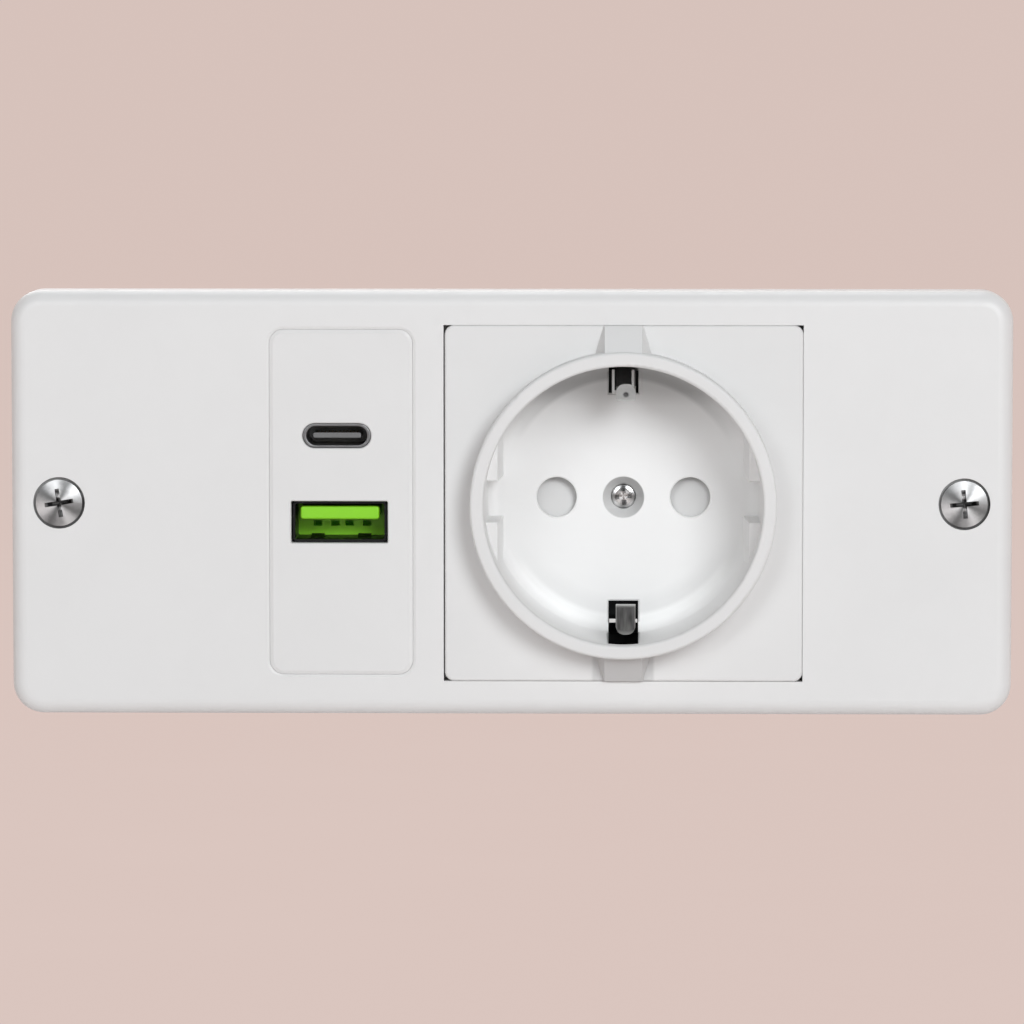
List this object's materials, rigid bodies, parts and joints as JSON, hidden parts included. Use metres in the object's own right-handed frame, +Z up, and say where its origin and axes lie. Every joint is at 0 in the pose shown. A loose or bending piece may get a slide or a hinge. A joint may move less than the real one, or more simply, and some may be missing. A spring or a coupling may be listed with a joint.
{
  "type": "usb wall socket",
  "caption": "White wall socket plate with an earthed round outlet behind a sprung safety shutter, USB-C and green USB-A charging ports, and a closed rear housing with a cable inlet.",
  "frame": {"origin": "centre of the plate, on the plane that lies against the wall, midway between the fixing screws", "axes": "+X to the right along the plate, +Y into the wall, +Z up; the front faces -Y"},
  "size_m": [0.1406, 0.054, 0.0598],
  "materials": {
    "plate_plastic": "smooth moulded, soft gloss",
    "panel_plastic": "smooth moulded, soft gloss",
    "cover_plastic": "smooth moulded, soft gloss",
    "screw_plating": "bright zinc plating",
    "shutter_plastic": "fine matt moulded",
    "spring_steel": "drawn wire",
    "base_plastic": "matt moulded",
    "contact_brass": "stamped, bright",
    "earth_metal": "nickel plated stamping",
    "shell_steel": "nickel plated, folded",
    "green_plastic": "bright green moulded",
    "black_plastic": "black moulded",
    "contact_gold": "gold flashed",
    "circuit_board": "green solder mask",
    "ferrite": "pressed and ground",
    "winding_tape": "polyester tape",
    "can_sleeve": "shrink sleeve",
    "disc_lacquer": "dipped lacquer",
    "choke_copper": "enamelled wire",
    "fuse_body": "lacquered",
    "lead_brown": "wire insulation",
    "lead_blue": "wire insulation",
    "housing_plastic": "fine matt moulded",
    "grommet_rubber": "moulded"
  },
  "bodies": {
    "socket_body": {"front_plate": "plate_plastic", "usb_fascia": "panel_plastic", "socket_insert": "cover_plastic", "insert_screw": "screw_plating", "wall_screws": "screw_plating", "housing_screws": "screw_plating", "shutter_springs": "spring_steel", "shutter_retainer": "base_plastic", "socket_base": "base_plastic", "live_contact": "contact_brass", "neutral_contact": "contact_brass", "earth_strap": "earth_metal", "contact_cover": "base_plastic", "terminal_plates": "contact_brass", "terminal_screws": "screw_plating", "usb_a_shell": "shell_steel", "usb_a_tongue": "green_plastic", "usb_a_contacts": "contact_gold", "usb_c_shell": "shell_steel", "usb_c_tongue": "black_plastic", "usb_c_contacts": "contact_gold", "port_board": "circuit_board", "port_board_screws": "screw_plating", "main_board": "circuit_board", "main_board_screws": "screw_plating", "board_header": "black_plastic", "header_pins": "contact_gold", "transformer_core": "ferrite", "transformer_bobbin": "black_plastic", "transformer_winding": "winding_tape", "bulk_capacitors": "can_sleeve", "output_capacitors": "can_sleeve", "safety_capacitor": "disc_lacquer", "bridge_rectifier": "black_plastic", "controller_ic": "black_plastic", "power_switch": "black_plastic", "input_fuse": "fuse_body", "input_choke": "choke_copper", "neutral_lead": "lead_blue", "live_lead": "lead_brown", "rear_housing": "housing_plastic", "cable_grommet": "grommet_rubber"},
    "shutter_slider": {"shutter": "shutter_plastic"}
  },
  "joints": [
    {"name": "shutter_slide", "type": "slide", "parent": "socket_body", "child": "shutter_slider", "axis": [0, 0, -1], "range_m": [0, 0.0069], "stiffness_N_per_m": 180, "springref_m": -0.004, "deforming": ["shutter_springs"]}
  ]
}
